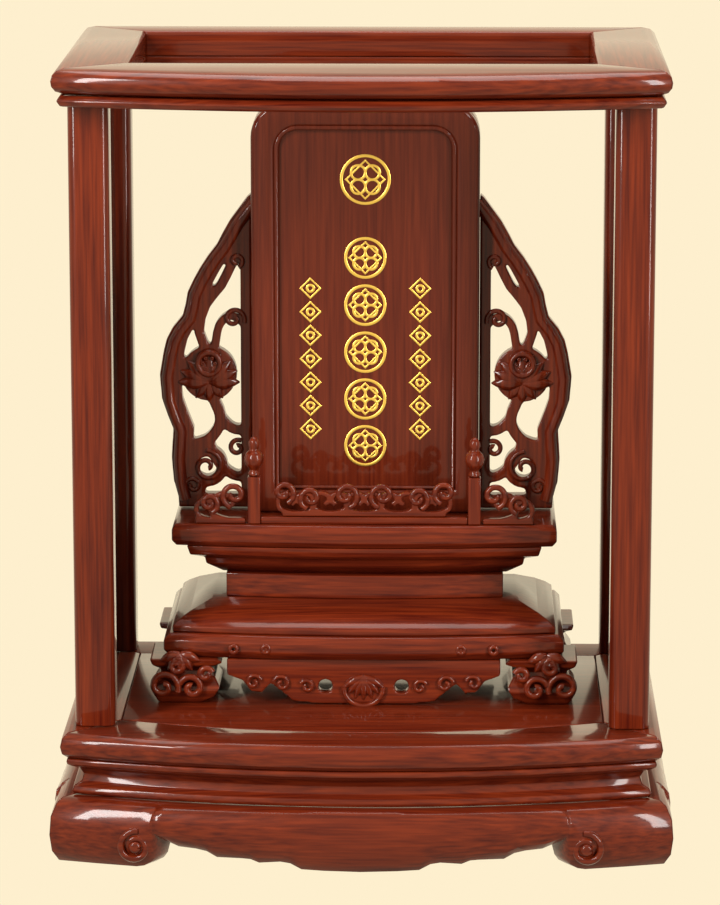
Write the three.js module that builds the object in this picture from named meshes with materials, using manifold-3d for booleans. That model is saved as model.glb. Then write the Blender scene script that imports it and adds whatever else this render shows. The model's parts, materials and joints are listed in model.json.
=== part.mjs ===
// A Chinese ancestor shrine in lacquered rosewood: an open case with scroll feet, four posts and a
// bowed top frame, and inside it a tablet with carved wings on a stepped stand.
// Millimetres, +Z up, front at -Y, origin on the ground under the middle of the case.
import * as THREE from 'three';
import Module from 'manifold-3d';
import { mergeVertices } from 'three/addons/utils/BufferGeometryUtils.js';

const wasm = await Module();
wasm.setup();

// Fit and fineness
const GAP = 0.3;
const MITRE = 0.22;
const WELD = 1e-5;
const FRONT_STEPS = 16;
const PLAN_STEPS = 12;
const ROUND_STEPS = 5;

// Case
const BOW = 30;
const BASE = { half: 216.5, front: -125, rear: 155, bow: BOW, depth: 1 };
const TOP = { half: 209, front: -117.5, rear: 147.5, bow: BOW, depth: 0.79 };
const DECK = { half: 209, front: -117.5, rear: 147.5, bow: BOW, depth: 1 };
const FOOT_TOP = 45;
const WAIST_TOP = 71.7;
const DECK_LOW = 72;
const DECK_TOP = 90.2;
const RAIL_DEEP = 40;
const PANEL_THICK = 10;
const POST_SIZE = 28;
const POST_ROUND = 6;
const POST_X = 186;
const POST_FRONT_Y = -83;
const POST_REAR_Y = 124;
const POST_BASE = DECK_TOP + GAP;
const BEAD_LOW = 527;
const BEAD_TOP = 534.7;
const CORNICE_LOW = 535;
const CORNICE_TOP = 553;
const OPENING_INSET = 49;
const GLASS_THICK = 4;
const BLOCK_SIZE = 24;
const BLOCK_INSET = 20;

// Stand
const STAND_BASE = POST_BASE;
const STAND_FRAME = { half: 142, front: -32, rear: 110, bow: 12, depth: 1 };
const STAND_STEPS = { half: 136, front: -26, rear: 104, bow: 11, depth: 1 };
const STAND_WAIST = { half: 99, front: 4, rear: 80, bow: 8, depth: 1 };
const STAND_CORNICE = { half: 126, front: -14, rear: 92, bow: 8, depth: 1 };
const PLATFORM = { half: 136.6, front: -16, rear: 96, bow: 8, depth: 1 };
const FRAME_LOW = 124;
const STEPS_LOW = 141;
const STAND_WAIST_LOW = 160;
const STAND_CORNICE_LOW = 177.3;
const PLATFORM_LOW = 201;
const PLATFORM_TOP = 217;
const LEG_HALF = 152;
const LEG_WIDE = 46;
const LEG_CORNER = 6;
const LEG_FRONT = -38;
const LEG_REAR = 116;
const APRON_THICK = 10;

// Balustrade
const SHAFT_X = 78;
const SHAFT_SIZE = 9;
const SHAFT_HIGH = 34;
const BALUSTRADE_Y = -12;
const BALUSTRADE_THICK = 7;
const FINIAL_HIGH = 28.6;
const BULB_RADIUS = 7.2;
const RAIL_HIGH = 5;

// Tablet
const TABLET_HALF = 81;
const TABLET_TOP = 513;
const TABLET_ROUND = 25;
const FACE_FRONT = 20;
const FACE_BACK = 32;
const CASE_BACK = 60;
const FACE_BORDER = 17;
const PANEL_FRONT = 24;
const SLIDE_HALF = 68;
const SLIDE_FRONT = 32.3;
const SLIDE_BACK = 37.3;
const SLIDE_LOW = 226;
const SLIDE_TOP = 500;
const CAVITY_HALF = 58;
const CAVITY_BACK = 54;
const CAVITY_LOW = 236;
const CAVITY_TOP = 480;
const SLIP_HIGH = 190;
const SLIP_WIDE = 34;
const SLIP_THICK = 3;
const WING_FRONT = 34;
const WING_BACK = 46;
const WING_RIM = 15;

// Colours
const ROSEWOOD = { color: 0x8a2d16, roughness: 0.22, metalness: 0 };
const FACEWOOD = { color: 0x6e2512, roughness: 0.3, metalness: 0 };
const CLEAR = { color: 0xdfe8ee, roughness: 0.05, metalness: 0 };

const group = new THREE.Group();

// Turns a closed mesh right side out, judged by its signed volume.
function outward(geometry) {
  const place = geometry.getAttribute('position');
  const index = geometry.index.array;
  const a = new THREE.Vector3();
  const b = new THREE.Vector3();
  const c = new THREE.Vector3();
  let volume = 0;
  for (let i = 0; i < index.length; i += 3) {
    a.fromBufferAttribute(place, index[i]);
    b.fromBufferAttribute(place, index[i + 1]);
    c.fromBufferAttribute(place, index[i + 2]);
    volume += a.dot(b.cross(c));
  }
  if (volume < 0) {
    for (let i = 0; i < index.length; i += 3) {
      const keep = index[i];
      index[i] = index[i + 1];
      index[i + 1] = keep;
    }
  }
  geometry.computeVertexNormals();
  return geometry;
}

function welded(geometry) {
  const bare = new THREE.BufferGeometry();
  bare.setAttribute('position', geometry.getAttribute('position').clone());
  if (geometry.index) bare.setIndex(geometry.index.clone());
  return outward(mergeVertices(bare, WELD));
}

function solid(geometry) {
  const ready = welded(geometry);
  const vertProperties = new Float32Array(ready.getAttribute('position').array);
  const triVerts = new Uint32Array(ready.index.array);
  return new wasm.Manifold(new wasm.Mesh({ numProp: 3, vertProperties, triVerts }));
}

function geometryOf(manifold) {
  const mesh = manifold.getMesh();
  const geometry = new THREE.BufferGeometry();
  geometry.setAttribute('position', new THREE.BufferAttribute(new Float32Array(mesh.vertProperties), 3));
  geometry.setIndex(Array.from(mesh.triVerts));
  geometry.computeVertexNormals();
  return geometry;
}

function joined(geometries) {
  return geometryOf(geometries.map(solid).reduce((whole, piece) => whole.add(piece)));
}

function cut(geometry, tools) {
  return geometryOf(tools.map(solid).reduce((whole, piece) => whole.subtract(piece), solid(geometry)));
}

function crossed(first, second) {
  return geometryOf(solid(first).intersect(solid(second)));
}

function mirrored(geometry) {
  const other = geometry.clone();
  other.scale(-1, 1, 1);
  return welded(other);
}

function put(name, geometry, look = ROSEWOOD) {
  const mesh = new THREE.Mesh(welded(geometry), new THREE.MeshStandardMaterial(look));
  mesh.name = name;
  group.add(mesh);
}

function bar(x0, x1, y0, y1, z0, z1) {
  const box = new THREE.BoxGeometry(x1 - x0, y1 - y0, z1 - z0);
  box.translate((x0 + x1) / 2, (y0 + y1) / 2, (z0 + z1) / 2);
  return box;
}

// A mesh through rings of equally many points, closed at both ends by the contour's own triangles.
function loft(drawnRings, drawnContour) {
  const turned = THREE.ShapeUtils.isClockWise(drawnContour);
  const contour = turned ? [...drawnContour].reverse() : drawnContour;
  const rings = turned ? drawnRings.map((ring) => [...ring].reverse()) : drawnRings;
  const count = contour.length;
  const index = [];
  for (let r = 0; r + 1 < rings.length; r += 1) {
    for (let i = 0; i < count; i += 1) {
      const j = (i + 1) % count;
      const low = r * count;
      const high = low + count;
      index.push(low + i, low + j, high + j);
      index.push(low + i, high + j, high + i);
    }
  }
  const last = (rings.length - 1) * count;
  THREE.ShapeUtils.triangulateShape(contour, []).forEach(([a, b, c]) => {
    index.push(a, c, b);
    index.push(last + a, last + b, last + c);
  });
  const geometry = new THREE.BufferGeometry();
  geometry.setAttribute('position', new THREE.Float32BufferAttribute(rings.flat(2), 3));
  geometry.setIndex(index);
  return outward(geometry);
}

// A plan point on one side of the bowed rectangle, s running -1 to 1 along it, u inset from its edge.
function planPoint(plan, side, s, u) {
  const deep = u * plan.depth;
  const run = plan.half - u - MITRE;
  const low = plan.front + deep + MITRE;
  const high = plan.rear - deep - MITRE;
  const along = THREE.MathUtils.lerp(low, high, (s + 1) / 2);
  if (side === 'front') {
    const fade = plan.straight ? Math.max(0, 1 - u / plan.straight) : 1;
    return [s * run, plan.front + deep - plan.bow * fade * (1 - s * s)];
  }
  if (side === 'rear') return [s * run, plan.rear - deep];
  return side === 'right' ? [plan.half - u, along] : [u - plan.half, along];
}

// The apron's lower edge as [share of the half-length, height]: a nearly grounded middle, three
// small scallops rising outwards, then the round of the scroll foot.
const APRON_EDGE = [
  [0, 2], [0.12, 2.6], [0.193, 3.4], [0.23, 7.5], [0.262, 8.5], [0.332, 7.3], [0.36, 9.6], [0.388, 10],
  [0.471, 10.1], [0.505, 14], [0.541, 15.5], [0.597, 16.4], [0.64, 20], [0.664, 21.7], [0.668, 14],
  [0.676, 8], [0.69, 4], [0.715, 1], [0.74, 0], [0.87, 0], [1, 0],
];

function stationsOf(side, edge) {
  if (edge) {
    const right = edge.map(([share, z]) => [share, z]);
    const left = edge.slice(1).reverse().map(([share, z]) => [-share, z]);
    return [...left, ...right];
  }
  const steps = side === 'front' ? FRONT_STEPS : 1;
  return Array.from({ length: steps + 1 }, (_, k) => [-1 + (2 * k) / steps, null]);
}

function rail(plan, side, profile, edge) {
  const lowest = Math.min(...profile.map(([, z]) => z));
  const highest = Math.max(...profile.map(([, z]) => z));
  const rings = stationsOf(side, edge).map(([s, low]) => profile.map(([u, z]) => {
    const share = (z - lowest) / (highest - lowest);
    return [...planPoint(plan, side, s, u), THREE.MathUtils.lerp(low ?? lowest, highest, share)];
  }));
  return loft(rings, profile.map(([u, z]) => new THREE.Vector2(u, z)));
}

function frameOfRails(suffix, plan, profile, edge) {
  ['front', 'left', 'right', 'rear'].forEach((side) => {
    put(`${side}_${suffix}`, rail(plan, side, profile, edge));
  });
}

function planRing(plan, inset) {
  const ring = [];
  for (let k = 0; k <= PLAN_STEPS; k += 1) {
    const s = -1 + (2 * k) / PLAN_STEPS;
    ring.push([s * (plan.half - inset), plan.front + inset - plan.bow * (1 - s * s)]);
  }
  ring.push([plan.half - inset, plan.rear - inset]);
  ring.push([inset - plan.half, plan.rear - inset]);
  return ring;
}

// A board with the bowed plan and a moulded edge, given as [inset, height] pairs from low to high.
function board(plan, edge) {
  const rings = edge.map(([inset, z]) => planRing(plan, inset).map(([x, y]) => [x, y, z]));
  return loft(rings, planRing(plan, edge[0][0]).map(([x, y]) => new THREE.Vector2(x, y)));
}

function roundedSquare(size, radius) {
  const h = size / 2;
  const shape = new THREE.Shape();
  shape.moveTo(-h + radius, -h);
  shape.lineTo(h - radius, -h);
  shape.absarc(h - radius, -h + radius, radius, -Math.PI / 2, 0);
  shape.lineTo(h, h - radius);
  shape.absarc(h - radius, h - radius, radius, 0, Math.PI / 2);
  shape.lineTo(-h + radius, h);
  shape.absarc(-h + radius, h - radius, radius, Math.PI / 2, Math.PI);
  shape.lineTo(-h, -h + radius);
  shape.absarc(-h + radius, -h + radius, radius, Math.PI, Math.PI * 1.5);
  return shape;
}

function pillar(size, radius, x, y, z0, z1) {
  const shape = roundedSquare(size, radius);
  const geometry = new THREE.ExtrudeGeometry(shape, {
    depth: z1 - z0, bevelEnabled: false, curveSegments: ROUND_STEPS,
  });
  geometry.translate(x, y, z0);
  return geometry;
}

// A plate from a shape drawn in x and z, standing from y0 to y1.
function plate(shape, y0, y1, segments = ROUND_STEPS) {
  const geometry = new THREE.ExtrudeGeometry(shape, {
    depth: y1 - y0, bevelEnabled: false, curveSegments: segments,
  });
  geometry.rotateX(Math.PI / 2);
  geometry.translate(0, y1, 0);
  return geometry;
}

// A ribbon of even width along a smooth line through points in x and z.
function ribbon(points, width, y0, y1, steps = 10) {
  const curve = new THREE.CatmullRomCurve3(points.map(([x, z]) => new THREE.Vector3(x, z, 0)));
  const left = [];
  const right = [];
  for (let k = 0; k <= steps; k += 1) {
    const at = curve.getPoint(k / steps);
    const way = curve.getTangent(k / steps);
    const side = new THREE.Vector2(-way.y, way.x).multiplyScalar(width / 2);
    left.push(new THREE.Vector2(at.x + side.x, at.y + side.y));
    right.unshift(new THREE.Vector2(at.x - side.x, at.y - side.y));
  }
  return plate(new THREE.Shape([...left, ...right]), y0, y1);
}

function ringPlate(x, z, outer, inner, y0, y1) {
  const shape = new THREE.Shape();
  shape.absarc(x, z, outer, 0, Math.PI * 2);
  if (inner > 0) {
    const hole = new THREE.Path();
    hole.absarc(x, z, inner, 0, Math.PI * 2, true);
    shape.holes.push(hole);
  }
  return plate(shape, y0, y1, ROUND_STEPS * 3);
}

// Case: aprons, waist, deck, posts, top
const APRON_PROFILE = [[6, 0], [1.5, 8], [0, 20], [1, 33], [5, 42], [9, FOOT_TOP], [18, FOOT_TOP], [18, 0]];
const WAIST_PROFILE = [
  [16, FOOT_TOP + GAP], [15, 48], [16, 51], [21, 53], [22.5, 58], [20, 63], [14, 66], [12, 67.5],
  [11.5, 69.5], [12, WAIST_TOP], [RAIL_DEEP, WAIST_TOP], [RAIL_DEEP, FOOT_TOP + GAP],
];
const DECK_PROFILE = [
  [5, DECK_LOW], [1.2, 75.5], [0, 81], [1.2, 86.5], [5, DECK_TOP], [RAIL_DEEP, DECK_TOP],
  [RAIL_DEEP, DECK_LOW],
];
const BEAD_PROFILE = [
  [6, BEAD_LOW], [3.5, 531], [6, BEAD_TOP], [OPENING_INSET, BEAD_TOP], [OPENING_INSET, BEAD_LOW],
];
const CORNICE_PROFILE = [
  [9, CORNICE_LOW], [3, 537.5], [0.5, 541], [0, 544.5], [1, 548.5], [4, 551.5], [9, CORNICE_TOP],
  [47, CORNICE_TOP], [OPENING_INSET, 551], [OPENING_INSET, CORNICE_LOW],
];
const TOP_STRAIGHT = { ...TOP, straight: OPENING_INSET };

frameOfRails('foot_apron', BASE, APRON_PROFILE, APRON_EDGE);
frameOfRails('waist_moulding', BASE, WAIST_PROFILE);
frameOfRails('deck_moulding', DECK, DECK_PROFILE);
frameOfRails('top_rail', TOP_STRAIGHT, BEAD_PROFILE);
frameOfRails('cornice_rail', TOP_STRAIGHT, CORNICE_PROFILE);

const panelInset = RAIL_DEEP + GAP;
put('deck_panel', board(DECK, [[panelInset, DECK_TOP - PANEL_THICK], [panelInset, DECK_TOP]]));

[['left', -1], ['right', 1]].forEach(([name, hand]) => {
  [['front', POST_FRONT_Y], ['rear', POST_REAR_Y]].forEach(([end, y]) => {
    put(`${end}_${name}_post`, pillar(POST_SIZE, POST_ROUND, hand * POST_X, y, POST_BASE, BEAD_LOW - GAP));
    const outer = BASE.half - BLOCK_INSET;
    const x0 = hand > 0 ? outer - BLOCK_SIZE : -outer;
    const y0 = end === 'front' ? BASE.front + BLOCK_INSET : BASE.rear - BLOCK_INSET - BLOCK_SIZE;
    put(`${end}_${name}_block`, bar(x0, x0 + BLOCK_SIZE, y0, y0 + BLOCK_SIZE, 0, FOOT_TOP));
  });
  const paneX = hand * POST_X;
  const paneFront = POST_FRONT_Y + POST_SIZE / 2 + GAP;
  const paneRear = POST_REAR_Y - POST_SIZE / 2 - GAP;
  const half = GLASS_THICK / 2;
  put(`${name}_glass`, bar(paneX - half, paneX + half, paneFront, paneRear, POST_BASE, BEAD_LOW - GAP), CLEAR);
});

// Stand: boards one on another
put('stand_frame', board(STAND_FRAME, [[4, FRAME_LOW], [0, 129], [0, 136], [4, STEPS_LOW - GAP]]));
put('stand_steps', board(STAND_STEPS, [
  [0, STEPS_LOW], [0, 145], [5, 149], [12, 153], [28, STAND_WAIST_LOW - GAP],
]));
put('stand_waist', board(STAND_WAIST, [[0, STAND_WAIST_LOW], [0, STAND_CORNICE_LOW - GAP]]));
put('stand_cornice', board(STAND_CORNICE, [
  [24, STAND_CORNICE_LOW], [13, 185], [12, 190], [2, 194], [0, PLATFORM_LOW - GAP],
]));
put('platform_board', board(PLATFORM, [[3, PLATFORM_LOW], [0, 205], [0, 213], [3, PLATFORM_TOP]]));

// A leg seen from the front: a leafy shoulder, a drawn-in knee and a large volute at the foot.
const LEG_OUTLINE = [
  [0, 0], [-30, 0], [-40, 5], [-44, 12], [-40, 19], [-30, 21], [-34, 26], [-LEG_WIDE, 30], [-42, 33.2],
  [6, 33.2], [4, 28], [-2, 24], [0, 18], [5, 10],
];

function legShape() {
  return new THREE.Shape(LEG_OUTLINE.map(([x, z]) => new THREE.Vector2(x, z)));
}

function leg(right, end) {
  const seenFront = plate(legShape(), -LEG_CORNER, LEG_WIDE);
  const seenSide = plate(legShape(), -LEG_WIDE, LEG_CORNER);
  seenSide.rotateZ(-Math.PI / 2);
  const geometry = crossed(seenFront, seenSide);
  geometry.translate(LEG_HALF - LEG_CORNER, 0, STAND_BASE);
  geometry.scale(1, end === 'front' ? 1 : -1, 1);
  geometry.translate(0, end === 'front' ? LEG_FRONT + LEG_CORNER : LEG_REAR - LEG_CORNER, 0);
  return right ? welded(geometry) : mirrored(geometry);
}

['front', 'rear'].forEach((end) => {
  put(`${end}_left_leg`, leg(false, end));
  put(`${end}_right_leg`, leg(true, end));
});

// The front apron: a band with a central bump over an openwork shell, and scroll branches.
const apronEdge = [
  [97, 123.7], [97, 112], [86, 108], [80, 100], [72, 99], [66, 106], [58, 100], [50, 93], [30, 91],
  [0, 91],
];
const apronShape = new THREE.Shape([
  ...apronEdge.map(([x, z]) => new THREE.Vector2(x, z)),
  ...apronEdge.slice(0, -1).reverse().map(([x, z]) => new THREE.Vector2(-x, z)),
]);
const apronFront = STAND_FRAME.front - 4;
put('stand_front_apron', cut(plate(apronShape, apronFront, apronFront + APRON_THICK), [
  ringPlate(27, 104, 5, 0, apronFront - 1, apronFront + APRON_THICK + 1),
  ringPlate(-27, 104, 5, 0, apronFront - 1, apronFront + APRON_THICK + 1),
]));
put('stand_rear_rail', bar(-97, 97, 96, 106, 108, FRAME_LOW - GAP));
const sideApron = bar(126, 136, 18, 60, 108, FRAME_LOW - GAP);
put('stand_right_apron', sideApron);
put('stand_left_apron', mirrored(sideApron));

// Balustrade
const railY0 = BALUSTRADE_Y - BALUSTRADE_THICK / 2;
const railY1 = BALUSTRADE_Y + BALUSTRADE_THICK / 2;
const railLow = PLATFORM_TOP + GAP;
const shaftTop = railLow + SHAFT_HIGH;
const FINIAL_PROFILE = [
  [0, 0], [4.5, 0], [4.5, 2], [3, 4], [6, 8], [BULB_RADIUS, 12], [6.2, 16], [3, 19], [4.2, 21.5],
  [4, 25], [2, 27.8], [0, FINIAL_HIGH],
];
[['left', -1], ['right', 1]].forEach(([name, hand]) => {
  put(`${name}_baluster`, pillar(SHAFT_SIZE, 1, hand * SHAFT_X, BALUSTRADE_Y, railLow, shaftTop));
  const finial = new THREE.LatheGeometry(FINIAL_PROFILE.map(([r, z]) => new THREE.Vector2(r, z)), 20);
  finial.rotateX(Math.PI / 2);
  finial.translate(hand * SHAFT_X, BALUSTRADE_Y, shaftTop + GAP);
  put(`${name}_finial`, finial);
});
const railEnd = SHAFT_X - SHAFT_SIZE / 2 - GAP;
put('balustrade_rail', bar(-railEnd, railEnd, railY0, railY1, railLow, railLow + RAIL_HIGH));

// Scroll frets: mirrored curls standing on the rail and on the platform.
function curl(x, z, hand, size) {
  return ribbon([
    [x + hand * size * 0.2, z], [x + hand * size * 0.9, z + size * 0.25], [x + hand * size, z + size * 0.8],
    [x + hand * size * 0.5, z + size * 1.15], [x, z + size * 0.85], [x + hand * size * 0.3, z + size * 0.5],
  ], 3.4, railY0, railY1);
}
const fretLow = railLow + RAIL_HIGH + GAP;
const fretParts = [bar(-58, 58, railY0, railY1, fretLow, fretLow + 4)];
[-48, -24, 0, 24, 48].forEach((x) => {
  fretParts.push(curl(x, fretLow + 2, 1, 13));
  fretParts.push(curl(x, fretLow + 2, -1, 13));
});
put('centre_fret', joined(fretParts));
const sideLow = railLow;
const sideFret = joined([
  bar(SHAFT_X + 6, 120, railY0, railY1, sideLow, sideLow + 4),
  curl(92, sideLow + 2, 1, 17),
  curl(106, sideLow + 2, 1, 13),
]);
put('right_fret', sideFret);
put('left_fret', mirrored(sideFret));

// Tablet: a hollow case, a face that slides up in its grooves, and the slips it holds
function archShape(half, low, high, radius) {
  const shape = new THREE.Shape();
  shape.moveTo(-half, low);
  shape.lineTo(half, low);
  shape.lineTo(half, high - radius);
  shape.absarc(half - radius, high - radius, radius, 0, Math.PI / 2);
  shape.lineTo(-half + radius, high);
  shape.absarc(-half + radius, high - radius, radius, Math.PI / 2, Math.PI);
  return shape;
}
const tabletLow = PLATFORM_TOP + GAP;
const tabletShape = () => archShape(TABLET_HALF, tabletLow, TABLET_TOP, TABLET_ROUND);
put('tablet_case', cut(plate(tabletShape(), FACE_BACK + GAP, CASE_BACK), [
  bar(-SLIDE_HALF - GAP, SLIDE_HALF + GAP, FACE_BACK, SLIDE_BACK + GAP, SLIDE_LOW, TABLET_TOP + 1),
  bar(-CAVITY_HALF, CAVITY_HALF, FACE_BACK, CAVITY_BACK, CAVITY_LOW, CAVITY_TOP),
]), FACEWOOD);
const slideShape = archShape(SLIDE_HALF, SLIDE_LOW + GAP, SLIDE_TOP, TABLET_ROUND - FACE_BORDER);
put('slide_board', plate(slideShape, SLIDE_FRONT + GAP, SLIDE_BACK), FACEWOOD);
const innerHalf = TABLET_HALF - FACE_BORDER;
const innerTop = TABLET_TOP - FACE_BORDER;
const innerRound = TABLET_ROUND - FACE_BORDER / 2;
const innerLow = tabletLow + FACE_BORDER;
put('face_frame', cut(plate(tabletShape(), FACE_FRONT, FACE_BACK), [
  plate(archShape(innerHalf, innerLow, innerTop, innerRound), FACE_FRONT - 1, FACE_BACK + 1),
]), FACEWOOD);
put('face_panel', plate(
  archShape(innerHalf - GAP, innerLow + GAP, innerTop - GAP, innerRound - GAP), PANEL_FRONT, FACE_BACK,
), FACEWOOD);
[['left', -1], ['right', 1]].forEach(([name, hand]) => {
  const x = hand * (SLIP_WIDE / 2 + 3);
  const slipBack = CAVITY_BACK - GAP;
  put(`${name}_name_slip`, bar(
    x - SLIP_WIDE / 2, x + SLIP_WIDE / 2, slipBack - SLIP_THICK, slipBack, CAVITY_LOW + GAP,
    CAVITY_LOW + GAP + SLIP_HIGH,
  ));
});

// Wings: an S-shaped rim round a lotus on its stem. Each pair is [half-width, height].
const WING_OUTLINE = [
  [84, 444], [90.6, 435], [96.5, 427], [101.6, 418], [105.9, 409.6], [112.5, 401], [118.3, 392],
  [122.7, 384], [127, 375], [128.5, 366.6], [130.7, 358], [138, 349], [142.3, 340.8], [144.5, 332],
  [147.4, 315], [146, 297.7], [143, 289], [138, 276], [139.4, 254.7], [138, 237.5], [135, 229],
  [134.3, 218],
];
const wingInner = TABLET_HALF + GAP;
const wingShape = new THREE.Shape([
  new THREE.Vector2(wingInner, 218), new THREE.Vector2(wingInner, 446),
  ...WING_OUTLINE.map(([x, z]) => new THREE.Vector2(x, z)),
]);
const holeShape = new THREE.Shape([
  new THREE.Vector2(wingInner + 8, 228), new THREE.Vector2(wingInner + 8, 414),
  ...WING_OUTLINE.filter(([, z]) => z < 405 && z > 228).map(([x, z]) => new THREE.Vector2(x - WING_RIM, z)),
  new THREE.Vector2(123, 228),
]);
const FLOWER_X = 112;
const FLOWER_Z = 316;
const FLOWER_RADIUS = 20;
const wing = joined([
  cut(plate(wingShape, WING_FRONT, WING_BACK), [plate(holeShape, WING_FRONT - 1, WING_BACK + 1)]),
  ringPlate(FLOWER_X, FLOWER_Z, FLOWER_RADIUS, 0, WING_FRONT, WING_BACK),
  ribbon([[112, 330], [119, 346], [114, 366], [103, 380], [96, 394], [88, 408]], 7, WING_FRONT, WING_BACK),
  ribbon([[86, 352], [96, 358], [104, 352], [108, 334]], 6, WING_FRONT, WING_BACK),
  ribbon([[110, 300], [104, 282], [112, 268], [131, 262]], 8, WING_FRONT, WING_BACK),
  ribbon([[106, 286], [96, 276], [86, 274]], 7, WING_FRONT, WING_BACK),
  ringPlate(114, 248, 15, 7, WING_FRONT, WING_BACK),
  ribbon([[112, 266], [108, 254], [96, 242], [86, 240]], 7, WING_FRONT, WING_BACK),
  ribbon([[118, 236], [120, 230], [122, 222]], 9, WING_FRONT, WING_BACK),
]);
put('right_wing', wing);
put('left_wing', mirrored(wing));

export default group;
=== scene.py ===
import json
import math

import bmesh
import bpy
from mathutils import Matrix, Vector

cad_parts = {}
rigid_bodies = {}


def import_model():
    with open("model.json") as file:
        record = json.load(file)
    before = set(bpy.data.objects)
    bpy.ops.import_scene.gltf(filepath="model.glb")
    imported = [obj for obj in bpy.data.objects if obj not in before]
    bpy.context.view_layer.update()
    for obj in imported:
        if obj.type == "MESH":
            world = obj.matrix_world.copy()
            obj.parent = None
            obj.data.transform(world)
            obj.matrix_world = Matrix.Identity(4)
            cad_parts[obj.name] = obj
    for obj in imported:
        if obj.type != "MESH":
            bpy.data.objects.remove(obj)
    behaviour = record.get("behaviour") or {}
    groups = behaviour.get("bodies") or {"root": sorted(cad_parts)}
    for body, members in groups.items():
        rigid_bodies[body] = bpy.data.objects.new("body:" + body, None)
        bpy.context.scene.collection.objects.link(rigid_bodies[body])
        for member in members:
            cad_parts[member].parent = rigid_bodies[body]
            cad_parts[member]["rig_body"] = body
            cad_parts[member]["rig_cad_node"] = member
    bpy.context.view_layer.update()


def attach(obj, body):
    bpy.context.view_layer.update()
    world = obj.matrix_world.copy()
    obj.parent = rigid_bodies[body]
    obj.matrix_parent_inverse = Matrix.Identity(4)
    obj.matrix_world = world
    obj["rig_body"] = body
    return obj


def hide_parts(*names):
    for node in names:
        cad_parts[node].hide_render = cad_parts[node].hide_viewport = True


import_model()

MM = 0.001
BOTH_HANDS = (-1, 1)

# Camera: a long lens a little to the right of the middle, looking down
CAM_AZIMUTH = 1.2
CAM_ELEVATION = 12.0
CAM_DISTANCE = 2.95
CAM_LENS = 174.2
CAM_AIM = Vector((0.0, -0.155, 0.299))

# Lamps: name, place, what it points at, width and height in metres, power in watts
CASE_MIDDLE = (0, 0, 0.3)
TABLET_MIDDLE = (0, 0, 0.4)
LAMPS = (
    ("key_left", (-1.3, -1.6, 1.3), CASE_MIDDLE, 0.3, 1.5, 60),
    ("fill_right", (1.5, -1.5, 0.9), CASE_MIDDLE, 0.3, 1.5, 40),
    ("overhead", (0, 0.2, 1.8), TABLET_MIDDLE, 1.4, 1.0, 24),
)
LAMP_COLOUR = (1.0, 0.95, 0.92)
WORLD_COLOUR = (1.0, 0.97, 0.94, 1.0)
WORLD_STRENGTH = 0.32

# Colours, linear
BACKDROP = (0.991, 0.863, 0.617, 1.0)
WOOD_DARK = (0.050, 0.0035, 0.0018, 1.0)
WOOD_LIGHT = (0.175, 0.022, 0.0048, 1.0)
FACE_DARK = (0.062, 0.006, 0.0022, 1.0)
FACE_LIGHT = (0.135, 0.019, 0.0055, 1.0)
GOLD = (0.78, 0.52, 0.10, 1.0)
GLASS_TINT = (0.93, 0.97, 1.0, 1.0)

# Grain: the pattern's scale is small along the fibres and large across them
GRAIN_LONG = 5.0
GRAIN_CROSS = 150.0
ALONG_X = (GRAIN_LONG, GRAIN_CROSS, GRAIN_CROSS)
ALONG_Y = (GRAIN_CROSS, GRAIN_LONG, GRAIN_CROSS)
ALONG_Z = (GRAIN_CROSS, GRAIN_CROSS, GRAIN_LONG)
GRAIN_SCALE = 3.0
GRAIN_DETAIL = 6.0
DARK_UP_TO = 0.25
LIGHT_FROM = 0.75

# Surfaces
WOOD_ROUGH = 0.3
FACE_ROUGH = 0.4
WOOD_SPECULAR = 0.08
LACQUER_WEIGHT = 0.8
LACQUER_IOR = 1.32
LACQUER_ROUGH = 0.07
GILT_METALLIC = 0.85
GILT_ROUGH = 0.32
GLASS_ROUGH = 0.04

# Finish of the copied solids
WELD = 0.002 * MM
FLAT_ANGLE = math.radians(1)
EDGE_ROUND = 0.9 * MM
SOFT_EDGE = 3.2 * MM
EDGE_STEPS = 3
EDGE_ANGLE = math.radians(35)
SMOOTH_ANGLE = math.radians(40)
CARVE_VOXEL = 0.9 * MM
CARVE_PASSES = 8
CARVE_FACTOR = 0.5

# Fineness of strokes, rings and petals
STROKE_STEPS = 3
CURL_POINTS = 44
MEDALLION_POINTS = 40
POD_POINTS = 24
SHELL_POINTS = 20
LOBE_POINTS = 20
DOT_POINTS = 16
STUD_POINTS = 14
BUTTON_POINTS = 12
SEED_POINTS = 10
BEAD_POINTS = 10
PETAL_STEPS = 8
PETAL_SIDES = 10

# A petal's width and rise follow part of a half turn's sine: start, gain and end
PETAL_WIDTH = (0.12, 0.85, 0.97)
PETAL_RISE = (0.15, 0.8, 0.96)

# Gilt ornament on the face panel
PANEL_Y = 24.0
GILT_STROKE = 0.9
GILT_RING_STROKE = GILT_STROKE * 1.2
GILT_FLAT = 0.35
GILT_Y = PANEL_Y - GILT_STROKE * GILT_FLAT
TOP_MEDALLION = (458.0, 17.0)
MEDALLION_HIGH = 402.0
MEDALLION_STEP = 34.0
MEDALLION_RADIUS = 14.0
MEDALLION_COUNT = 5
LOBES = 4
LOBE_PLACE = 0.42
LOBE_SIZE = 0.3
DIAMOND_SIZE = 0.8
SIDE_X = 39.0
SIDE_HIGH = 380.0
SIDE_STEP = 17.0
SIDE_COUNT = 7
SIDE_REACH = 7
SIDE_DOT = 2.4

# Bead round the face panel
BEAD_HALF = 63.0
BEAD_LOW = 236.0
BEAD_HIGH = 495.0
BEAD_ROUND = 15.0
BEAD_Y = 22.0
BEAD_RADIUS = 1.8

# A row of a table of curls gives centre x and z, outer radius, start and sweep in degrees.
# A fan of petals gives their count, start and step in degrees, reach, width and swell.
# An eye is the radius where a curl ends, and a bar is the radius of a stroke.
CURL_EYE = 1.6

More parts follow.
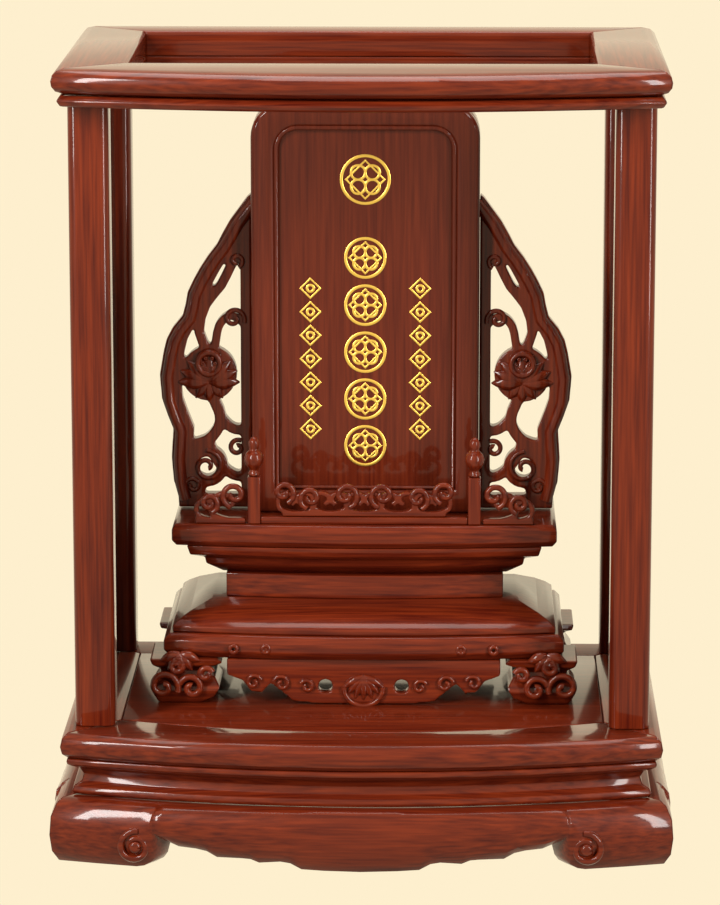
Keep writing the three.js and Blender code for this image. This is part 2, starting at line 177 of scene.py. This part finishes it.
# Wings: a lotus, five curls and a rim along the outer edge
WING_Y = 34.0
FLOWER_X = 112.0
FLOWER_Z = 316.0
UPPER_PETALS_Z = FLOWER_Z - 6
UPPER_PETALS = (9, 0, 22.5, 22.0, 5.6, 4.2)
LOWER_PETALS_Z = FLOWER_Z - 4
LOWER_PETALS_Y = WING_Y + 1
LOWER_PETALS = (5, 200, 35, 17.0, 5.0, 3.4)
POD_Z = FLOWER_Z + 8
POD_Y = WING_Y - 3
POD_RADIUS = 8
POD_BAR = 2.2
SEEDS = 6
SEED_Y = WING_Y - 3.6
SEED_RING = 4.4
SEED_RADIUS = 0.9
SEED_BAR = 0.7
WING_CURLS = (
    (94, 356, 8, 200, -420),
    (114, 248, 12, 90, 500),
    (124, 234, 6, 0, 400),
    (92, 262, 6, 120, -400),
    (92, 398, 5, 250, -360),
)
WING_CURL_BAR = 1.8
WING_EDGE = (
    (84, 442), (90.6, 434), (96.5, 426), (101.6, 417), (105.9, 409.6), (112.5, 401),
    (118.3, 392), (122.7, 384), (127, 375), (128.5, 366.6), (130.7, 358), (138, 349),
    (142.3, 340.8), (144.5, 332), (147.4, 315), (146, 297.7), (143, 289), (138, 276),
    (139.4, 254.7), (138, 237.5), (135, 226),
)
RIM_Y = WING_Y + 1
RIM_INSET = 5.5
RIM_DROP = 2
RIM_RADIUS = 4.6

# Shell and curls on the stand's front apron
SHELL_Y = -36.0
SHELL = (7, 210, 20, 18, 3.4, 3.0)
SHELL_Z = 112
APRON_CURL_Y = -37.0
SHELL_RING_Z = 104
SHELL_RING_RADIUS = 14
SHELL_RING_BAR = 2.0
APRON_CURLS = (
    (58, 106, 6, 20, 420),
    (78, 107, 5.5, 160, -400),
    (40, 104, 5, 30, 380),
)
APRON_CURL_EYE = 1.3
APRON_CURL_BAR = 1.6

# Curls and leaves on the stand's legs, and studs along the band between them
LEG_FACE_Y = -38.5
LEG_CURLS = (
    (142, 104, 11, 200, -460),
    (122, 103, 9, 20, 430),
    (133, 119, 6, 90, 400),
    (112, 113, 5, 160, -380),
)
LEG_CURL_BAR = 2.4
LEAF_X = 130
LEAF_Y = LEG_FACE_Y + 1
LEAF_Z = 128
LEAVES = (5, 200, 35, 15, 4.0, 3.4)
STUDS_X = (92, 69)
STUD_Y = LEG_FACE_Y - 2
STUD_Z = 132
STUD_RADIUS = 2.6
STUD_BAR = 1.6

# Curls in the balustrade
FRET_Y = -15.0
FRET_CURLS = (
    (13, 238, 9, 250, -470),
    (38, 236, 8, 290, 450),
    (57, 240, 8, 250, -450),
    (92, 238, 9, 290, 450),
    (110, 232, 7, 250, -450),
)
FRET_CURL_BAR = 2.1

# Scrolls on the case's front feet, which follow the front's bow
BASE_HALF = 216.5
BASE_FRONT = -125
BASE_BOW = 30
FOOT_X = 156
FOOT_Z = 16
FOOT_CURLS = ((FOOT_X, FOOT_Z, 11.5, 100, -400),)
FOOT_CURL_OUT = 1
FOOT_CURL_EYE = 5.5
FOOT_CURL_BAR = 2.4
BUTTON_OUT = 0.5
BUTTON_RADIUS = 1.6
BUTTON_BAR = 3.2

# Words in the nodes' names that choose their finish and grain
CARVED = ("wing", "fret", "leg", "front_apron", "finial")
SIDEWAYS = tuple(f"{side}_{part}" for side in ("left", "right")
                 for part in ("foot", "waist", "deck", "top", "cornice"))
UPRIGHT = ("post", "baluster", "wing", "finial", "slip")
FACE_NODES = ("tablet_case", "slide_board", "face_frame", "face_panel")


def wood(name, dark, light, grain, rough):
    """Lacquered wood; grain holds the pattern's scale along X, Y and Z."""
    material = bpy.data.materials.new(name)
    material.use_nodes = True
    nodes, links = material.node_tree.nodes, material.node_tree.links
    shader = nodes["Principled BSDF"]
    place = nodes.new("ShaderNodeTexCoord")
    mapping = nodes.new("ShaderNodeMapping")
    mapping.inputs["Scale"].default_value = grain
    noise = nodes.new("ShaderNodeTexNoise")
    noise.inputs["Scale"].default_value = GRAIN_SCALE
    noise.inputs["Detail"].default_value = GRAIN_DETAIL
    ramp = nodes.new("ShaderNodeValToRGB")
    ramp.color_ramp.elements[0].position = DARK_UP_TO
    ramp.color_ramp.elements[0].color = dark
    ramp.color_ramp.elements[1].position = LIGHT_FROM
    ramp.color_ramp.elements[1].color = light
    links.new(place.outputs["Object"], mapping.inputs["Vector"])
    links.new(mapping.outputs["Vector"], noise.inputs["Vector"])
    links.new(noise.outputs["Fac"], ramp.inputs["Fac"])
    links.new(ramp.outputs["Color"], shader.inputs["Base Color"])
    shader.inputs["Roughness"].default_value = rough
    shader.inputs["Specular IOR Level"].default_value = WOOD_SPECULAR
    shader.inputs["Coat Weight"].default_value = LACQUER_WEIGHT
    shader.inputs["Coat IOR"].default_value = LACQUER_IOR
    shader.inputs["Coat Roughness"].default_value = LACQUER_ROUGH
    return material


def plain(name, colour, metallic, rough):
    """One colour all over, as gilding has."""
    material = bpy.data.materials.new(name)
    material.use_nodes = True
    shader = material.node_tree.nodes["Principled BSDF"]
    shader.inputs["Base Color"].default_value = colour
    shader.inputs["Metallic"].default_value = metallic
    shader.inputs["Roughness"].default_value = rough
    return material


def clear_glass(name):
    """Sheet glass: mostly see-through, with a Fresnel reflection."""
    material = bpy.data.materials.new(name)
    material.use_nodes = True
    nodes, links = material.node_tree.nodes, material.node_tree.links
    nodes.remove(nodes["Principled BSDF"])
    see = nodes.new("ShaderNodeBsdfTransparent")
    see.inputs["Color"].default_value = GLASS_TINT
    shine = nodes.new("ShaderNodeBsdfGlossy")
    shine.inputs["Roughness"].default_value = GLASS_ROUGH
    fresnel = nodes.new("ShaderNodeFresnel")
    mix = nodes.new("ShaderNodeMixShader")
    links.new(fresnel.outputs["Fac"], mix.inputs[0])
    links.new(see.outputs["BSDF"], mix.inputs[1])
    links.new(shine.outputs["BSDF"], mix.inputs[2])
    links.new(mix.outputs["Shader"], nodes["Material Output"].inputs["Surface"])
    return material


WOOD_X = wood("rosewood_across", WOOD_DARK, WOOD_LIGHT, ALONG_X, WOOD_ROUGH)
WOOD_Y = wood("rosewood_deep", WOOD_DARK, WOOD_LIGHT, ALONG_Y, WOOD_ROUGH)
WOOD_Z = wood("rosewood_upright", WOOD_DARK, WOOD_LIGHT, ALONG_Z, WOOD_ROUGH)
FACE_WOOD = wood("face_wood", FACE_DARK, FACE_LIGHT, ALONG_Z, FACE_ROUGH)
GILT = plain("gilt", GOLD, GILT_METALLIC, GILT_ROUGH)
GLASS = clear_glass("sheet_glass")


def named_with(node, words):
    return any(word in node for word in words)


def look_of(node):
    """The material of a wooden node, with the record's slot for it."""
    if node in FACE_NODES:
        return FACE_WOOD, "facewood"
    if named_with(node, UPRIGHT):
        return WOOD_Z, "rosewood"
    if named_with(node, SIDEWAYS):
        return WOOD_Y, "rosewood"
    return WOOD_X, "rosewood"


def wear(obj, material):
    obj.data.materials.clear()
    obj.data.materials.append(material)


def finish_piece(obj, material, body):
    wear(obj, material)
    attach(obj, body)


def smooth(mesh):
    mesh.shade_smooth()
    mesh.set_sharp_from_angle(angle=SMOOTH_ANGLE)


def applied(obj):
    """Turns the object's modifiers into its mesh."""
    graph = bpy.context.evaluated_depsgraph_get()
    done = bpy.data.meshes.new_from_object(obj.evaluated_get(graph))
    obj.modifiers.clear()
    obj.data = done


def fine_copy(cad, node, body):
    """The visible form of one solid: the same shape with rounded edges, or softened as carving."""
    carved = named_with(node, CARVED)
    mesh = cad.data.copy()
    obj = bpy.data.objects.new(f"{node}_form", mesh)
    bpy.context.scene.collection.objects.link(obj)
    obj.matrix_world = cad.matrix_world.copy()
    work = bmesh.new()
    work.from_mesh(mesh)
    bmesh.ops.remove_doubles(work, verts=work.verts, dist=WELD)
    if not carved:
        bmesh.ops.dissolve_limit(work, angle_limit=FLAT_ANGLE, verts=work.verts, edges=work.edges)
    work.to_mesh(mesh)
    work.free()
    if carved:
        remesh = obj.modifiers.new("carve", "REMESH")
        remesh.mode = "VOXEL"
        remesh.voxel_size = CARVE_VOXEL
        soften = obj.modifiers.new("soften", "SMOOTH")
        soften.factor = CARVE_FACTOR
        soften.iterations = CARVE_PASSES
    else:
        bevel = obj.modifiers.new("edge", "BEVEL")
        bevel.width = SOFT_EDGE if node == "face_frame" else EDGE_ROUND
        bevel.segments = EDGE_STEPS
        bevel.limit_method = "ANGLE"
        bevel.angle_limit = EDGE_ANGLE
    applied(obj)
    smooth(obj.data)
    material, slot = look_of(node)
    finish_piece(obj, material, body)
    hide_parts(node)


def stroke(points, radius, closed=False, flat=1.0):
    """A round bar through points in millimetres, as a mesh; flat squeezes it in Y."""
    data = bpy.data.curves.new("stroke", "CURVE")
    data.dimensions = "3D"
    data.bevel_depth = radius * MM
    data.bevel_resolution = STROKE_STEPS
    data.use_fill_caps = True
    spline = data.splines.new("POLY")
    spline.points.add(len(points) - 1)
    base = points[0][1]
    for k, (x, y, z) in enumerate(points):
        spline.points[k].co = (x * MM, (y - base) * MM, z * MM, 1.0)
    spline.use_cyclic_u = closed
    obj = bpy.data.objects.new("stroke", data)
    mesh = bpy.data.meshes.new_from_object(obj)
    for vertex in mesh.vertices:
        vertex.co.y = vertex.co.y * flat + base * MM
    bpy.data.objects.remove(obj)
    return mesh


def gathered(name, meshes, material, body):
    """One piece made of several small meshes."""
    work = bmesh.new()
    for mesh in meshes:
        work.from_mesh(mesh)
    whole = bpy.data.meshes.new(name)
    work.to_mesh(whole)
    work.free()
    smooth(whole)
    obj = bpy.data.objects.new(name, whole)
    bpy.context.scene.collection.objects.link(obj)
    finish_piece(obj, material, body)


def arc(cx, cz, radius, start, end, y, count):
    """Points of an arc that faces the front; start and end are in degrees."""
    turns = [math.radians(start + (end - start) * k / count) for k in range(count + 1)]
    return [(cx + radius * math.cos(a), y, cz + radius * math.sin(a)) for a in turns]


def ring(cx, cz, radius, y, count):
    return arc(cx, cz, radius, 0, 360, y, count)


def diamond(cx, cz, reach, y):
    return [(cx + reach, y, cz), (cx, y, cz + reach), (cx - reach, y, cz), (cx, y, cz - reach)]


def curls(hand, rows, eye, y, bar):
    """Bars wound inwards to the radius eye, one for each row; hand -1 mirrors them to the left."""
    meshes = []
    for cx, cz, outer, start, sweep in rows:
        points = []
        for k in range(CURL_POINTS + 1):
            share = k / CURL_POINTS
            radius = outer + (eye - outer) * share
            angle = math.radians(start + sweep * share)
            x, z = cx + radius * math.cos(angle), cz + radius * math.sin(angle)
            points.append((hand * x, y, z))
        meshes.append(stroke(points, bar))
    return meshes


def part_of_sine(share, start, gain, end):
    return math.sin(math.pi * min(end, share * gain + start))


def petal(cx, cz, reach, wide, angle, y, swell):
    """A pointed, swelling petal as a closed shell with a ridge along its middle."""
    work = bmesh.new()
    rows = []
    way = Vector((math.cos(angle), 0.0, math.sin(angle)))
    side = Vector((-way.z, 0.0, way.x))
    for k in range(PETAL_STEPS + 1):
        share = k / PETAL_STEPS
        half = wide * part_of_sine(share, *PETAL_WIDTH)
        rise = swell * part_of_sine(share, *PETAL_RISE)
        mid = Vector((cx, y, cz)) + way * reach * share
        row = []
        for turn in range(PETAL_SIDES):
            around = 2 * math.pi * turn / PETAL_SIDES
            up = Vector((0, -rise * math.sin(around), 0))
            row.append(work.verts.new((mid + side * half * math.cos(around) + up) * MM))
        rows.append(row)
    for low, high in zip(rows, rows[1:]):
        for k in range(PETAL_SIDES):
            j = (k + 1) % PETAL_SIDES
            work.faces.new((low[k], low[j], high[j], high[k]))
    work.faces.new(rows[0][::-1])
    work.faces.new(rows[-1])
    bmesh.ops.recalc_face_normals(work, faces=work.faces)
    mesh = bpy.data.meshes.new("petal")
    work.to_mesh(mesh)
    work.free()
    return mesh


def fan(cx, y, cz, count, start, step, reach, wide, swell):
    """Petals round one point; start and step are in degrees."""
    angles = [math.radians(start + step * k) for k in range(count)]
    return [petal(cx, cz, reach, wide, angle, y, swell) for angle in angles]


def gilding(points, bar=GILT_STROKE, closed=False):
    return stroke(points, bar, closed, GILT_FLAT)


def medallion(high, radius):
    """A ring round four lobes and a diamond."""
    meshes = [gilding(ring(0, high, radius, GILT_Y, MEDALLION_POINTS), GILT_RING_STROKE)]
    for turn in range(LOBES):
        angle = math.radians(45 + 360 / LOBES * turn)
        cx = radius * LOBE_PLACE * math.cos(angle)
        cz = high + radius * LOBE_PLACE * math.sin(angle)
        meshes.append(gilding(ring(cx, cz, radius * LOBE_SIZE, GILT_Y, LOBE_POINTS)))
    meshes.append(gilding(diamond(0, high, radius * DIAMOND_SIZE, GILT_Y), closed=True))
    return meshes


def side_row(hand):
    """Diamonds with a dot, one below the other."""
    meshes = []
    for k in range(SIDE_COUNT):
        cx, cz = hand * SIDE_X, SIDE_HIGH - SIDE_STEP * k
        meshes.append(gilding(diamond(cx, cz, SIDE_REACH, GILT_Y), closed=True))
        meshes.append(gilding(ring(cx, cz, SIDE_DOT, GILT_Y, DOT_POINTS)))
    return meshes


def wing_carving(hand):
    """Lotus, seed pod, curls and rim of one wing."""
    fx = hand * FLOWER_X
    meshes = fan(fx, WING_Y, UPPER_PETALS_Z, *UPPER_PETALS)
    meshes += fan(fx, LOWER_PETALS_Y, LOWER_PETALS_Z, *LOWER_PETALS)
    meshes.append(stroke(ring(fx, POD_Z, POD_RADIUS, POD_Y, POD_POINTS), POD_BAR))
    for k in range(SEEDS):
        angle = math.radians(360 / SEEDS * k)
        cx = fx + SEED_RING * math.cos(angle)
        cz = POD_Z + SEED_RING * math.sin(angle)
        meshes.append(stroke(ring(cx, cz, SEED_RADIUS, SEED_Y, SEED_POINTS), SEED_BAR))
    meshes += curls(hand, WING_CURLS, CURL_EYE, WING_Y, WING_CURL_BAR)
    rim = [(hand * (x - RIM_INSET), RIM_Y, z - RIM_DROP) for x, z in WING_EDGE]
    meshes.append(stroke(rim, RIM_RADIUS))
    return meshes


def leg_carving(hand):
    """Curls and leaves of one leg, with the studs beside it."""
    meshes = curls(hand, LEG_CURLS, CURL_EYE, LEG_FACE_Y, LEG_CURL_BAR)
    meshes += fan(hand * LEAF_X, LEAF_Y, LEAF_Z, *LEAVES)
    for x in STUDS_X:
        stud = ring(hand * x, STUD_Z, STUD_RADIUS, STUD_Y, STUD_POINTS)
        meshes.append(stroke(stud, STUD_BAR))
    return meshes


def foot_scroll(hand):
    """A curl round a button on one front foot."""
    bow_y = BASE_FRONT - BASE_BOW * (1 - (FOOT_X / BASE_HALF) ** 2)
    meshes = curls(hand, FOOT_CURLS, FOOT_CURL_EYE, bow_y + FOOT_CURL_OUT, FOOT_CURL_BAR)
    button = ring(hand * FOOT_X, FOOT_Z, BUTTON_RADIUS, bow_y + BUTTON_OUT, BUTTON_POINTS)
    meshes.append(stroke(button, BUTTON_BAR))
    return meshes


# The glass keeps its solids; each wooden node gets a finer copy that stands for it
for cad in [o for o in bpy.context.scene.objects if "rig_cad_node" in o]:
    cad_node = cad["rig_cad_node"]
    if "glass" in cad_node:
        wear(cad, GLASS)
    else:
        fine_copy(cad, cad_node, cad["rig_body"])

# Gilt ornament and bead on the tablet's face
gilt = medallion(*TOP_MEDALLION)
for k in range(MEDALLION_COUNT):
    gilt += medallion(MEDALLION_HIGH - MEDALLION_STEP * k, MEDALLION_RADIUS)
for hand in BOTH_HANDS:
    gilt += side_row(hand)
gathered("gilt_ornament", gilt, GILT, "face")

corner_x, corner_z = BEAD_HALF - BEAD_ROUND, BEAD_HIGH - BEAD_ROUND
bead = [(-BEAD_HALF, BEAD_Y, BEAD_LOW), (BEAD_HALF, BEAD_Y, BEAD_LOW)]
bead += arc(corner_x, corner_z, BEAD_ROUND, 0, 90, BEAD_Y, BEAD_POINTS)
bead += arc(-corner_x, corner_z, BEAD_ROUND, 90, 180, BEAD_Y, BEAD_POINTS)
gathered("face_bead", [stroke(bead, BEAD_RADIUS, True)], FACE_WOOD, "face")

# Carving on the stand
gathered("left_wing_carving", wing_carving(-1), WOOD_Z, "stand")
gathered("right_wing_carving", wing_carving(1), WOOD_Z, "stand")

front = fan(0, SHELL_Y, SHELL_Z, *SHELL)
shell_ring = arc(0, SHELL_RING_Z, SHELL_RING_RADIUS, 180, 360, APRON_CURL_Y, SHELL_POINTS)
front.append(stroke(shell_ring, SHELL_RING_BAR))
legs = []
scrollwork = []
feet = []
for hand in BOTH_HANDS:
    front += curls(hand, APRON_CURLS, APRON_CURL_EYE, APRON_CURL_Y, APRON_CURL_BAR)
    legs += leg_carving(hand)
    scrollwork += curls(hand, FRET_CURLS, CURL_EYE, FRET_Y, FRET_CURL_BAR)
    feet += foot_scroll(hand)
gathered("stand_front_carving", front, WOOD_X, "stand")
gathered("stand_leg_carving", legs, WOOD_X, "stand")
gathered("balustrade_scrolls", scrollwork, WOOD_X, "stand")

# Scrolls on the case's front feet
gathered("foot_scrolls", feet, WOOD_X, "case")

# Camera
scene = bpy.context.scene
camera = bpy.data.objects.new("camera", bpy.data.cameras.new("camera"))
scene.collection.objects.link(camera)
azimuth, elevation = math.radians(CAM_AZIMUTH), math.radians(CAM_ELEVATION)
back = Vector((math.sin(azimuth) * math.cos(elevation), -math.cos(azimuth) * math.cos(elevation),
               math.sin(elevation)))
camera.location = CAM_AIM + back * CAM_DISTANCE
camera.rotation_euler = (-back).to_track_quat("-Z", "Y").to_euler()
camera.data.lens = CAM_LENS
scene.camera = camera

# Lamps
for name, spot, aim, width, height, power in LAMPS:
    data = bpy.data.lights.new(name, "AREA")
    data.shape = "RECTANGLE"
    data.size, data.size_y = width, height
    data.energy = power
    data.color = LAMP_COLOUR
    lamp = bpy.data.objects.new(name, data)
    lamp.location = spot
    lamp.rotation_euler = (Vector(aim) - Vector(spot)).to_track_quat("-Z", "Y").to_euler()
    scene.collection.objects.link(lamp)

# World: the backdrop's colour to the camera, in reflections and through glass, else soft light
world = bpy.data.worlds.new("studio")
scene.world = world
world.use_nodes = True
tree = world.node_tree
tree.nodes.clear()
paths = tree.nodes.new("ShaderNodeLightPath")
seen = tree.nodes.new("ShaderNodeBackground")
seen.inputs["Color"].default_value = BACKDROP
lit = tree.nodes.new("ShaderNodeBackground")
lit.inputs["Color"].default_value = WORLD_COLOUR
lit.inputs["Strength"].default_value = WORLD_STRENGTH
first = tree.nodes.new("ShaderNodeMath")
first.operation = "MAXIMUM"
second = tree.nodes.new("ShaderNodeMath")
second.operation = "MAXIMUM"
mix = tree.nodes.new("ShaderNodeMixShader")
out = tree.nodes.new("ShaderNodeOutputWorld")
tree.links.new(paths.outputs["Is Camera Ray"], first.inputs[0])
tree.links.new(paths.outputs["Is Glossy Ray"], first.inputs[1])
tree.links.new(first.outputs[0], second.inputs[0])
tree.links.new(paths.outputs["Is Transmission Ray"], second.inputs[1])
tree.links.new(second.outputs[0], mix.inputs[0])
tree.links.new(lit.outputs[0], mix.inputs[1])
tree.links.new(seen.outputs[0], mix.inputs[2])
tree.links.new(mix.outputs[0], out.inputs["Surface"])
scene.view_settings.view_transform = "Standard"
